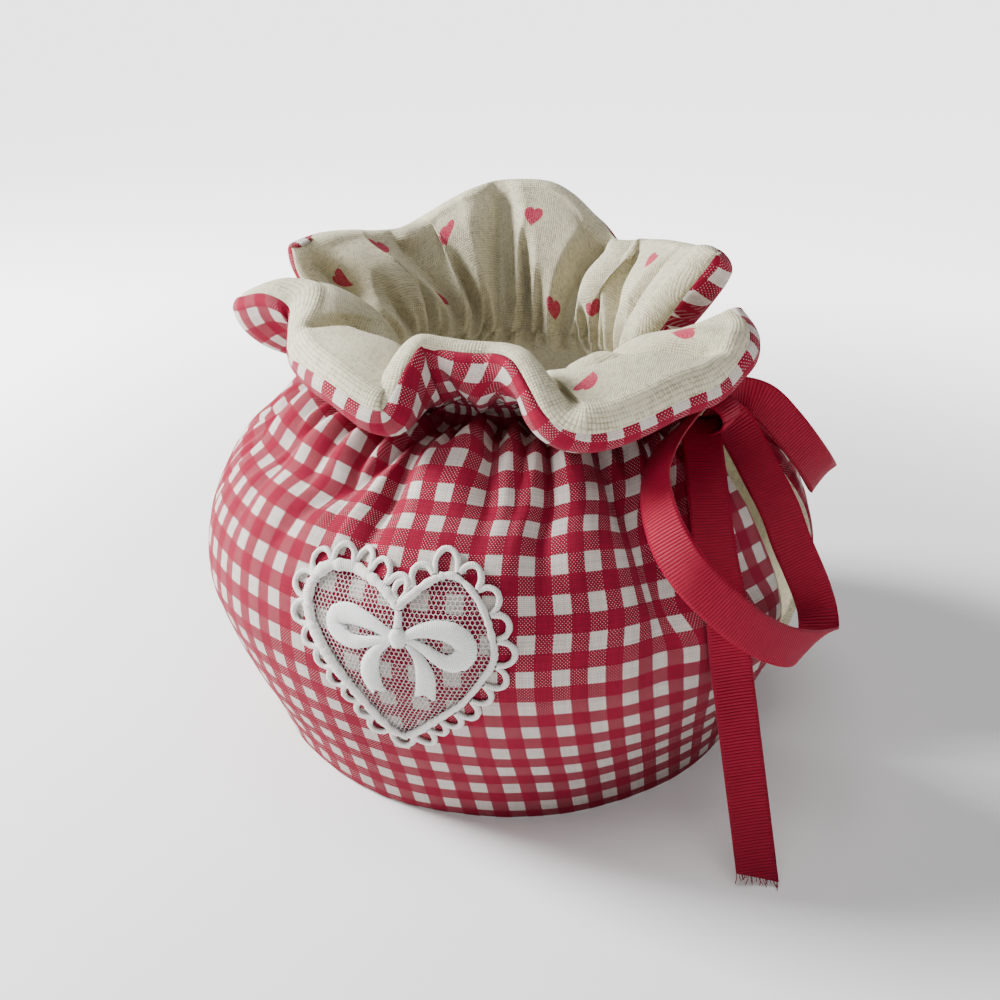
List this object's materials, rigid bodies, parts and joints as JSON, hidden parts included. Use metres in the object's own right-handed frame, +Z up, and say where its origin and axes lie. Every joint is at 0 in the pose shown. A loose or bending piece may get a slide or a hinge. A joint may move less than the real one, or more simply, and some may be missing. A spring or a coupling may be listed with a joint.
{
  "type": "tea cosy",
  "caption": "Gathered gingham tea cosy with a linen lining that shows at its ruffle, open slots for spout and handle, a lace heart and a ribbon bow.",
  "frame": {"origin": "the centre of the part's box seen from above, at the level of the hem that it stands on", "axes": "+Z up through the gathered neck; -Y is the front with the lace heart; +X is the handle side with the bow; -X is the spout side"},
  "size_m": [0.1818, 0.1756, 0.1426],
  "materials": {
    "gingham": "plain-woven checked cotton",
    "linen": "slubby plain-woven linen",
    "lace": "cotton machine lace",
    "ribbon": "ribbed grosgrain"
  },
  "bodies": {
    "root": {"gingham_front": "gingham", "gingham_back": "gingham", "lining_front": "linen", "lining_back": "linen", "lace_heart": "lace", "ribbon_bow": "ribbon"}
  },
  "joints": []
}
